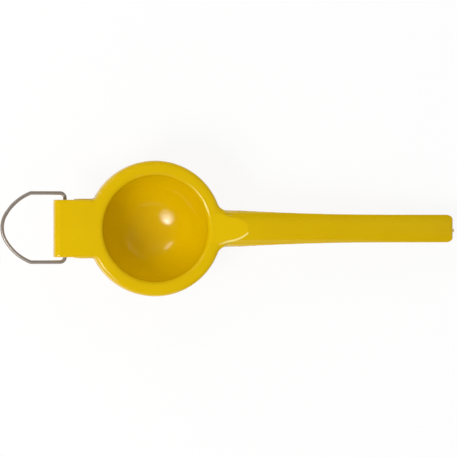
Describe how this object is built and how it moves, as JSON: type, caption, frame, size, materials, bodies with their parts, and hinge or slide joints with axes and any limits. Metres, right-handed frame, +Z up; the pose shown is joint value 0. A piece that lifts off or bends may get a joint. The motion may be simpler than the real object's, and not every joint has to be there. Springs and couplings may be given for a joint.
{
  "type": "hinged lemon squeezer",
  "caption": "Closed two-arm cast citrus squeezer: press dome over a perforated cup, channel handles, knuckle hinge on a hollow pin, wire hanging loop.",
  "frame": {"origin": "under the middle of the closed squeezer's bounding box, on the surface it lies on", "axes": "+X from the hinge to the handles' ends, +Y across the handles, +Z up from the surface"},
  "size_m": [0.2506, 0.073, 0.0449],
  "materials": {
    "strainer_arm": "gloss",
    "press_arm": "gloss",
    "hinge_pin": "satin",
    "hanging_loop": "polished"
  },
  "bodies": {
    "strainer_arm": {"strainer_arm": "strainer_arm"},
    "press_arm": {"press_arm": "press_arm", "hinge_pin": "hinge_pin"},
    "hanging_loop": {"hanging_loop": "hanging_loop"}
  },
  "joints": [
    {"name": "press_hinge", "type": "hinge", "parent": "strainer_arm", "child": "press_arm", "pos_m": [-0.09074, 0, 0.03843], "axis": [0, -1, 0], "range_deg": [0, 120]},
    {"name": "loop_hinge", "type": "hinge", "parent": "strainer_arm", "child": "hanging_loop", "pos_m": [-0.09074, 0, 0.03843], "axis": [0, 1, 0], "range_deg": [-110, 25]}
  ]
}
